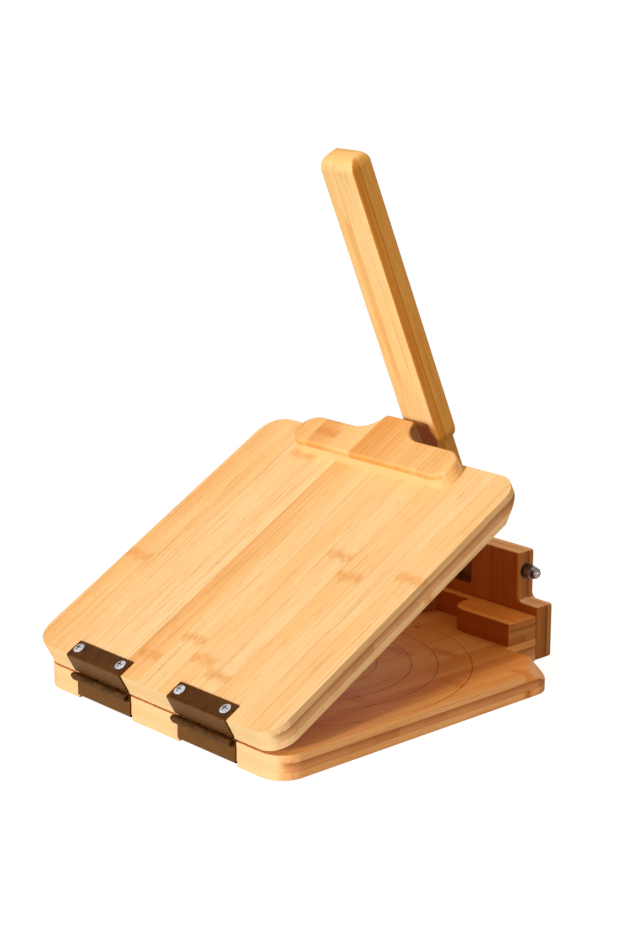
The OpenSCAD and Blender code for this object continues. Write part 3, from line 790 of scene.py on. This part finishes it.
def bright_metal(name, dark, light, rough, lines, hollow):
    """Plated or polished steel with faint clouds, fine turning lines and painted shade in its hollows.

    lines is the turning lines' step per millimetre, and hollow is how far the painted shade reaches from a corner.
    """
    g = Graph(bpy.data.materials.new(name))
    point = g.own_point()
    cloud = g.noise_at(point, (CLOUD_STEP,) * 3)
    turned = g.noise_at(point, (lines,) * 3, TURNED_DETAIL)
    colour = g.ramp(cloud, tuple(zip(CLOUD_STOPS, (dark, light))))
    # Painted shade in hollows, found by ambient occlusion
    open_sky = g.add("AmbientOcclusion", {"Distance": hollow * MM}).outputs["AO"]
    hollow_shade = g.times(g.rise(open_sky, *HOLLOW_SKY), METAL_HOLLOW_SHADE_SHARE)
    return g.finish(turned, TURNED_DEPTH, TURNED_STRENGTH, {
        "Base Color": g.tint(hollow_shade, colour, METAL_HOLLOW_SHADE),
        "Roughness": g.pick(turned, *rough),
        "Metallic": 1.0,
    })


# Metals: dark and light colour, least and most roughness, step of the lines, reach of the painted shade in hollows
METALS = {
    "screw_steel": (srgb(172, 168, 174), srgb(226, 224, 229), (0.14, 0.3), 3.0, 1.5),
    "rod_steel": (srgb(84, 80, 80), srgb(120, 116, 116), (0.35, 0.5), 2.0, 1.5),
    "nut_chrome": (srgb(86, 78, 78), srgb(176, 170, 171), (0.05, 0.12), 2.0, 6.0),
    "washer_steel": (srgb(52, 46, 44), srgb(84, 76, 72), (0.3, 0.5), 2.0, 1.5),
}
MATERIALS = {
    "bamboo_base": base_wood("bamboo_base"),
    "bamboo_lid": lid_wood("bamboo_lid"),
    "bamboo_block": block_wood("bamboo_block"),
    "bamboo_guide": guide_wood("bamboo_guide"),
    "bamboo_upright": upright_wood("bamboo_upright"),
    "bamboo_lever": lever_wood("bamboo_lever"),
    "hinge_bronze": bronze("hinge_bronze"),
}
for metal, look in METALS.items():
    MATERIALS[metal] = bright_metal(metal, *look)

# How far sharp edges are eased in each material's pieces, for edges from one height to another above
# the table: the lid as if it were closed, the lever above its pivot, all in millimetres
LOWEST = -1000
HIGHEST = 1000
ANY_HEIGHT = (LOWEST, HIGHEST)
LID_MIDDLE = 1.5 * BOARD_T
# Height above its seat from which a glued block's edges are eased
SEAT_ROOM = 1
EASE = {
    "bamboo_base": ((1.1, *ANY_HEIGHT),),
    "bamboo_lid": ((2.3, LID_MIDDLE, HIGHEST), (0.6, LOWEST, LID_MIDDLE)),
    "bamboo_block": ((2.2, LID_TOP + SEAT_ROOM, HIGHEST),),
    "bamboo_guide": ((1.2, BOARD_T + SEAT_ROOM, HIGHEST),),
    "bamboo_upright": ((1.8, *ANY_HEIGHT),),
    "bamboo_lever": ((2.4, *ANY_HEIGHT),),
    "hinge_bronze": ((0.3, *ANY_HEIGHT),),
    "screw_steel": ((0.15, *ANY_HEIGHT),),
    "rod_steel": ((0.4, *ANY_HEIGHT),),
    "nut_chrome": ((0.3, *ANY_HEIGHT),),
    "washer_steel": ((0.25, *ANY_HEIGHT),),
}
# Angle between two faces from which their edge is eased, the steps of the rounding and its form
SHARP_EDGE = math.radians(35)
EASE_STEPS = 3
ROUND_FORM = 0.5
# Distance within which corners are one, and angle within which faces are one
WELD = 0.002 * MM
FLAT = math.radians(0.5)
FASTENERS = (
    "upright_screws", "guide_screws", "pivot_rod", "hinge_left_pin", "hinge_right_pin",
    "hinge_left_base_screws", "hinge_right_base_screws", "hinge_left_lid_screws",
    "hinge_right_lid_screws",
)
# Room round a fastener within which edges are its hole's
HOLE_ROOM = 0.4 * MM
# Edges kept sharp: the engraved rings, from a margin round and below them, and the slot's floor
RING_MARGIN = 1
SLOT_REACH = 15 * MM
SLOT_FLOOR = (40 * MM, 50 * MM)


def welded(node):
    """A CAD node's mesh in one skin, with its flat faces whole."""
    mesh = bmesh.new()
    mesh.from_mesh(frame["nodes"][node].data)
    bmesh.ops.remove_doubles(mesh, verts=mesh.verts, dist=WELD)
    bmesh.ops.dissolve_limit(
        mesh, angle_limit=FLAT, verts=mesh.verts, edges=mesh.edges, delimit=set()
    )
    return mesh


def islands(node):
    """Boxes of the separate solids in a CAD node."""
    mesh = welded(node)
    left = set(mesh.verts)
    boxes = []
    while left:
        found = [left.pop()]
        corners = []
        while found:
            vert = found.pop()
            corners.append(vert.co.copy())
            for edge in vert.link_edges:
                other = edge.other_vert(vert)
                if other in left:
                    left.remove(other)
                    found.append(other)
        low = Vector(min(corner[i] for corner in corners) for i in range(3))
        high = Vector(max(corner[i] for corner in corners) for i in range(3))
        boxes.append((low, high))
    mesh.free()
    return boxes


HOLES = {node: islands(node) for node in FASTENERS}


def at_hole(node, point):
    """True where a fastener passes, whose hole keeps its sharp edge."""
    for fastener, boxes in HOLES.items():
        if fastener == node:
            continue
        for low, high in boxes:
            if all(low[i] - HOLE_ROOM <= point[i] <= high[i] + HOLE_ROOM for i in range(3)):
                return True
    return False


def kept_sharp(node, point):
    """True on the engraved rings of the base board and on the floor of the upright's slot."""
    if node == "base_board":
        inside = math.hypot(point.x, point.y) < (RING_DIAMETERS[-1] / 2 + RING_MARGIN) * MM
        return inside and point.z > (BOARD_T - RING_MARGIN) * MM
    if node == "upright":
        return abs(point.x) < SLOT_REACH and SLOT_FLOOR[0] < point.z < SLOT_FLOOR[1]
    return False


def ease(mesh, node, into_body, offset, low, high):
    """Rounds a node's sharp edges between two heights, but for its holes and those kept sharp."""
    eased = []
    for edge in mesh.edges:
        middle = (edge.verts[0].co + edge.verts[1].co) / 2
        height = (into_body @ middle).z / MM
        if low <= height < high and edge.is_manifold and edge.calc_face_angle() > SHARP_EDGE:
            if not at_hole(node, middle) and not kept_sharp(node, middle):
                eased.append(edge)
    bmesh.ops.bevel(
        mesh, geom=eased, offset=offset * MM, offset_type="OFFSET", segments=EASE_STEPS,
        profile=ROUND_FORM, affect="EDGES", clamp_overlap=True,
    )


def dress(node, slot, body):
    """Stands an eased copy with its material in for a CAD node."""
    mesh = welded(node)
    into_body = PLACES[body].inverted()
    for offset, low, high in EASE[slot]:
        ease(mesh, node, into_body, offset, low, high)
    mesh.transform(into_body)
    data = bpy.data.meshes.new(node + "_dressed")
    mesh.to_mesh(data)
    mesh.free()
    data.shade_smooth()
    data.set_sharp_from_angle(angle=SHARP_EDGE)
    data.materials.append(MATERIALS[slot])
    piece = bpy.data.objects.new(node + "_dressed", data)
    bpy.context.scene.collection.objects.link(piece)
    piece.matrix_world = PLACES[body]
    flat = piece.modifiers.new("flat_faces", "WEIGHTED_NORMAL")
    flat.keep_sharp = True
    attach(piece, body)
    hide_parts(node)


node_body = {}
for body, members in frame["record"]["behaviour"]["bodies"].items():
    for member in members:
        node_body[member] = body
for part in frame["record"]["subparts"]:
    dress(part["node"], part["material_slot"], node_body[part["node"]])

# Ring sizes, burnt into the base board just inside each ring's far point: their height, relief and
# distance from the ring, then the charred wood's noise, colours, bumps and roughness
NUMBER_SIZE = 8.2
NUMBER_RELIEF = 0.02
NUMBER_GAP = 2.2
CHAR_STEPS = (1.6, 1.6, 0.0)
CHAR_COLOURS = ((0.3, BURNT), (0.7, srgb(104, 58, 28)))
CHAR_DEPTH = 0.05
CHAR_STRENGTH = 0.3
CHAR_ROUGH = 0.7


def burnt_wood(name):
    """Charred wood of the burnt numbers."""
    g = Graph(bpy.data.materials.new(name))
    char = g.noise_at(g.own_point(), CHAR_STEPS)
    colour = g.ramp(char, CHAR_COLOURS)
    return g.finish(char, CHAR_DEPTH, CHAR_STRENGTH, {"Base Color": colour, "Roughness": CHAR_ROUGH})


def number_mesh(number, y):
    """Flat mesh of a number on the base board, its top edge at y."""
    words = bpy.data.curves.new("number", "FONT")
    words.body = number
    words.size = NUMBER_SIZE * MM
    words.align_x = "CENTER"
    words.align_y = "TOP"
    words.extrude = NUMBER_RELIEF * MM
    shape = bpy.data.objects.new("number", words)
    bpy.context.scene.collection.objects.link(shape)
    bpy.context.view_layer.update()
    seen_shape = shape.evaluated_get(bpy.context.evaluated_depsgraph_get())
    data = bpy.data.meshes.new_from_object(seen_shape)
    bpy.data.objects.remove(shape)
    data.transform(Matrix.Translation((0, y * MM, (BOARD_T + NUMBER_RELIEF) * MM)))
    return data


burnt_material = burnt_wood("burnt_numbers")
for diameter, number in zip(RING_DIAMETERS, RING_NUMBERS):
    data = number_mesh(number, diameter / 2 - NUMBER_GAP)
    data.materials.clear()
    data.materials.append(burnt_material)
    label = bpy.data.objects.new("ring_number_" + number.replace(".", "_"), data)
    bpy.context.scene.collection.objects.link(label)
    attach(label, "base")

# Stage: a white floor that keeps a soft shadow, white surroundings, a low front light and weaker ones
# from the right and from behind
# Floor: half its width and its height, both in metres, then its grey and its glow
FLOOR_HALF = 6.0
FLOOR_DROP = -0.1 * MM
FLOOR_GREY = (0.3, 0.3, 0.3, 1.0)
FLOOR_GLOW = 0.9
# Distances from the middle, in millimetres, where the floor starts to turn plain white and is white
FLOOR_WHITENS = (300.0, 700.0)
FILL_COLOUR = (1.0, 0.76, 0.52, 1.0)
FILL_SIDE = 0.12
FILL_TOP = 0.62
# Heights of the sky's directions from the level light to the light from above
FILL_RISE = (-0.1, 0.9)
SUN_COLOUR = (1.0, 0.985, 0.96)
# Lamps: strength, then softness, azimuth from the front towards the right and elevation in degrees
SUNS = {
    "key": (3.3, 6, 10, 15),
    "side": (0.66, 12, 92, 3),
    "back": (0.42, 20, 195, 24),
}


def seen_directly(g):
    """1 for what the camera sees, also in metal and through glass, and 0 for the light on the object."""
    path = g.add("LightPath", {}).outputs
    seen = g.largest(path["Is Camera Ray"], path["Is Glossy Ray"])
    return g.largest(seen, path["Is Transmission Ray"])


def white_floor(name):
    """Matt floor that glows for the camera and turns plain white away from the object."""
    g = Graph(bpy.data.materials.new(name))
    matt = g.add("BsdfDiffuse", {"Color": FLOOR_GREY}).outputs[0]
    glow = g.add("Emission", {"Color": WHITE, "Strength": FLOOR_GLOW}).outputs[0]
    lit = g.add("AddShader", {0: matt, 1: glow}).outputs[0]
    white = g.add("Emission", {"Color": WHITE, "Strength": 1.0}).outputs[0]
    point = g.own_point()
    whiteness = g.rise(g.length(point[0], point[1], 0.0), *FLOOR_WHITENS)
    seen = g.add("MixShader", {0: whiteness, 1: lit, 2: white}).outputs[0]
    shader = g.add("MixShader", {0: seen_directly(g), 1: matt, 2: seen}).outputs[0]
    g.add("OutputMaterial", {"Surface": shader})
    return g.owner


corners = [(-1, -1), (1, -1), (1, 1), (-1, 1)]
floor_mesh = bpy.data.meshes.new("floor")
floor_mesh.from_pydata(
    [(x * FLOOR_HALF, y * FLOOR_HALF, FLOOR_DROP) for x, y in corners], [], [(0, 1, 2, 3)]
)
floor_mesh.materials.append(white_floor("floor"))
floor = bpy.data.objects.new("floor", floor_mesh)
bpy.context.scene.collection.objects.link(floor)


def studio(name):
    """Warm fill light on the object, strongest from above, in surroundings that look white."""
    g = Graph(bpy.data.worlds.new(name))
    direction = g.add("TexCoord", {}).outputs["Generated"]
    upward = g.add("SeparateXYZ", {0: direction}).outputs[2]
    strength = g.pick(g.rise(upward, *FILL_RISE), FILL_SIDE, FILL_TOP)
    fill = g.add("Background", {"Color": FILL_COLOUR, "Strength": strength}).outputs[0]
    white = g.add("Background", {"Color": WHITE, "Strength": 1.0}).outputs[0]
    around = g.add("MixShader", {0: seen_directly(g), 1: fill, 2: white}).outputs[0]
    g.add("OutputWorld", {"Surface": around})
    return g.owner


bpy.context.scene.world = studio("studio")


def direction_to(azimuth, elevation):
    """Direction from the object to a lamp or camera, its azimuth from the front towards the right."""
    return Vector((
        math.cos(elevation) * math.sin(azimuth),
        -math.cos(elevation) * math.cos(azimuth),
        math.sin(elevation),
    ))


for name, (strength, softness, azimuth, elevation) in SUNS.items():
    light = bpy.data.lights.new(name, "SUN")
    light.energy = strength
    light.angle = math.radians(softness)
    light.color = SUN_COLOUR
    lamp = bpy.data.objects.new(name, light)
    bpy.context.scene.collection.objects.link(lamp)
    towards = direction_to(math.radians(azimuth), math.radians(elevation))
    lamp.rotation_euler = towards.to_track_quat("Z", "Y").to_euler()

# Camera at the photograph's place, with its 621 by 931 frame
CAMERA_AT = Vector((1.1623, -1.0483, 0.5842))
CAMERA_AZIMUTH = math.radians(47.651)
CAMERA_ELEVATION = math.radians(14.908)
CAMERA_ROLL = math.radians(0.093)
FRAME_HEIGHT_PX = 931
FOCAL_PX = 2258.47
SENSOR_MM = 36.0
back = direction_to(CAMERA_AZIMUTH, CAMERA_ELEVATION)
level_right = Vector((math.cos(CAMERA_AZIMUTH), math.sin(CAMERA_AZIMUTH), 0.0))
level_up = back.cross(level_right)
right = level_right * math.cos(CAMERA_ROLL) + level_up * math.sin(CAMERA_ROLL)
up = level_up * math.cos(CAMERA_ROLL) - level_right * math.sin(CAMERA_ROLL)
camera_data = bpy.data.cameras.new("photo_camera")
camera_data.sensor_fit = "VERTICAL"
camera_data.sensor_height = SENSOR_MM
camera_data.lens = FOCAL_PX * SENSOR_MM / FRAME_HEIGHT_PX
camera = bpy.data.objects.new("photo_camera", camera_data)
bpy.context.scene.collection.objects.link(camera)
turn = Matrix((right, up, back)).transposed().to_4x4()
camera.matrix_world = Matrix.Translation(CAMERA_AT) @ turn
bpy.context.scene.camera = camera
bpy.context.scene.view_settings.view_transform = "Standard"
